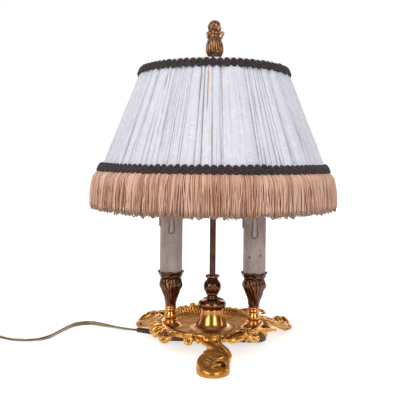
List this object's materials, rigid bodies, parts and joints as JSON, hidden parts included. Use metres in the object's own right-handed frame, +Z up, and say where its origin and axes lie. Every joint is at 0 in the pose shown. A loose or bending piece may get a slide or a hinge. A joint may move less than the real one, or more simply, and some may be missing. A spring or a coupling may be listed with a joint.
{
  "type": "bouillotte lamp",
  "caption": "Table lamp with a gilt tripod base, candle-shaped lights and a round gathered shade with braid and fringe that slides and turns on a middle rod.",
  "frame": {"origin": "on the table under the rod", "axes": "+Z up along the rod, front at -Y, candle lights on X"},
  "size_m": [0.5082, 0.291, 0.387],
  "materials": {
    "gilt_bronze": "worn gilding over cast bronze, satin",
    "polished_brass": "polished, warm",
    "dark_bronze": "dark brown patina, gold on the high edges",
    "finial_bronze": "brown patina with gold highlights",
    "aged_rod": "aged brown, satin",
    "cover_bronze": "dark lacquer",
    "steel": "plated",
    "frame_wire": "enamelled wire",
    "contact_brass": "plain",
    "bulb_metal": "plain",
    "bulb_glass": "frosted",
    "black_resin": "moulded",
    "candle_wax": "aged paint on card, wax drips",
    "wire_jacket": "plain",
    "pleated_cloth": "silvery silk in fine gathers",
    "lining_cloth": "plain weave",
    "brown_braid": "interlaced cord",
    "peach_fringe": "twisted rayon loops",
    "clear_cord": "clear jacket over two stranded cores",
    "black_rubber": "matt",
    "white_plastic": "moulded ivory",
    "dark_plastic": "moulded",
    "pin_metal": "nickel plated"
  },
  "bodies": {
    "lamp": {"base_plate": "gilt_bronze", "foot_front": "gilt_bronze", "foot_left": "gilt_bronze", "foot_right": "gilt_bronze", "foot_screws": "steel", "base_cover": "cover_bronze", "cover_screws": "steel", "bell": "polished_brass", "bell_cap": "dark_bronze", "column_knop": "dark_bronze", "stem_rod": "aged_rod", "rod_nut": "steel", "washers": "steel", "candle_foot_left": "polished_brass", "candle_foot_right": "polished_brass", "candle_cup_left": "dark_bronze", "candle_cup_right": "dark_bronze", "candle_tube_left": "steel", "candle_tube_right": "steel", "tube_nuts": "steel", "holder_body_left": "black_resin", "holder_body_right": "black_resin", "holder_shell_left": "contact_brass", "holder_shell_right": "contact_brass", "holder_contacts": "contact_brass", "sleeve_left": "candle_wax", "sleeve_right": "candle_wax", "bulb_cap_left": "bulb_metal", "bulb_cap_right": "bulb_metal", "bulb_glass_left": "bulb_glass", "bulb_glass_right": "bulb_glass", "wires_left": "wire_jacket", "wires_right": "wire_jacket", "terminal_block": "white_plastic", "finial": "finial_bronze", "cord_inner": "clear_cord", "cord_grip": "black_rubber", "cord_lead": "clear_cord", "switch_lower": "white_plastic", "switch_upper": "white_plastic", "switch_contacts": "contact_brass", "cord_tail": "clear_cord", "cord_coil": "clear_cord", "coil_tie": "black_rubber", "cord_end": "clear_cord", "plug_body": "white_plastic", "plug_pins": "pin_metal"},
    "carrier": {"carrier_collar": "contact_brass", "carrier_nut": "contact_brass"},
    "screw": {"thumbscrew": "contact_brass"},
    "shade": {"shade_top_ring": "frame_wire", "shade_spider": "frame_wire", "shade_bottom_ring": "frame_wire", "shade_ribs": "frame_wire", "shade_cover": "pleated_cloth", "shade_lining": "lining_cloth", "top_braid": "brown_braid", "bottom_braid": "brown_braid", "fringe": "peach_fringe"},
    "rocker": {"switch_rocker": "dark_plastic"}
  },
  "joints": [
    {"name": "carrier_slide", "type": "slide", "parent": "lamp", "child": "carrier", "axis": [0, 0, 1], "range_m": [-0.05, 0]},
    {"name": "shade_turn", "type": "hinge", "parent": "carrier", "child": "shade", "pos_m": [0, 0, 0.333], "axis": [0, 0, 1], "continuous": true},
    {"name": "thumbscrew_turn", "type": "hinge", "parent": "carrier", "child": "screw", "pos_m": [0, 0.012, 0.3265], "axis": [0, 1, 0], "range_deg": [0, 360]},
    {"name": "rocker_tilt", "type": "hinge", "parent": "lamp", "child": "rocker", "pos_m": [-0.292, -0.012, 0.0156], "axis": [0, 1, 0], "range_deg": [-14, 0]}
  ]
}
